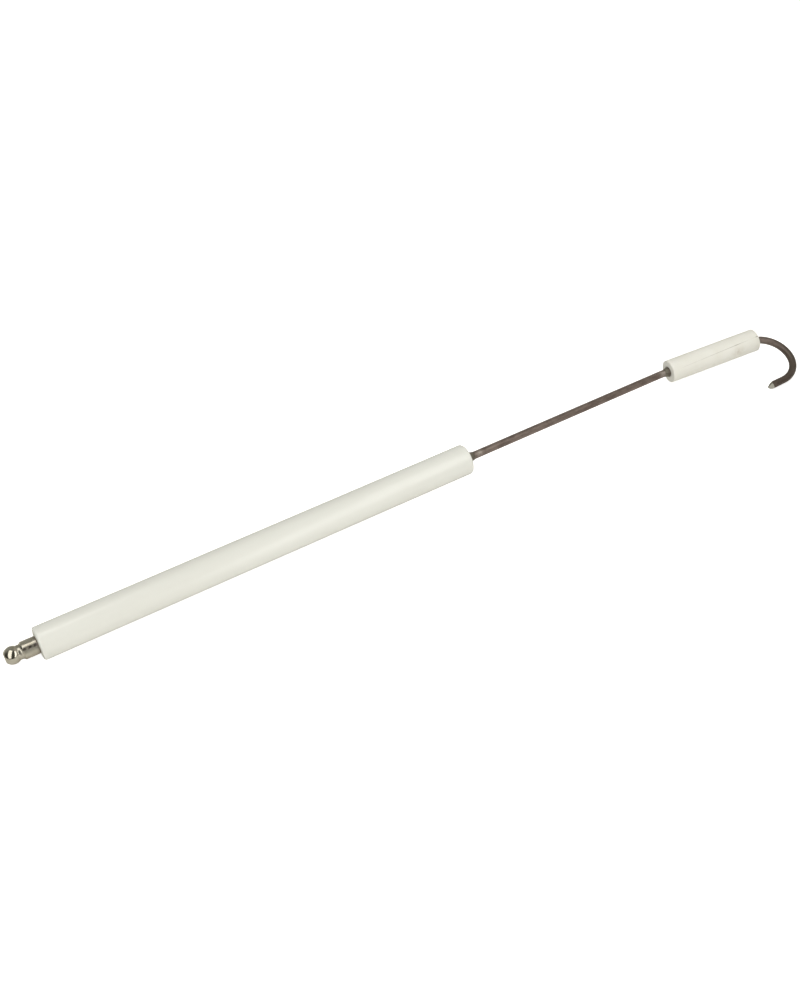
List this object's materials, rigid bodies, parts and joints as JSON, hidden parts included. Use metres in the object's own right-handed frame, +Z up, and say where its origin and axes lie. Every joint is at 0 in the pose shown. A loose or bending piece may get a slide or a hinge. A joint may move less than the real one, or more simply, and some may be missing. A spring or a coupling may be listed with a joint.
{
  "type": "flame sensor probe",
  "caption": "Flame sensing electrode: hooked resistance wire in a long glazed ceramic insulator, with a loose ceramic tip sleeve and a ball terminal.",
  "frame": {"origin": "centre of the main insulator, on its axis", "axes": "+X along the insulator towards the hooked tip; +Z up with the probe lying on its side; the hook curls to -Y"},
  "size_m": [0.3331, 0.0349, 0.0147],
  "materials": {
    "nickel_plate": "bright nickel plate",
    "oxidised_wire": "dark oxidised resistance wire",
    "glazed_ceramic": "satin glaze, off-white",
    "matt_ceramic": "unglazed, matt",
    "cement": "refractory cement",
    "collar_steel": "heat-darkened steel"
  },
  "bodies": {
    "probe": {"terminal_nut": "nickel_plate", "electrode_rod": "oxidised_wire", "main_insulator": "glazed_ceramic", "rear_cement_seal": "cement", "front_cement_seal": "cement", "front_retaining_collar": "collar_steel", "sleeve_retaining_collar": "collar_steel"},
    "sleeve": {"tip_sleeve": "matt_ceramic"}
  },
  "joints": [
    {"name": "sleeve_spin", "type": "hinge", "parent": "probe", "child": "sleeve", "pos_m": [0.18584, -0.00053, 0.0003], "axis": [0.9838, -0.1556, 0.0889], "continuous": true}
  ]
}
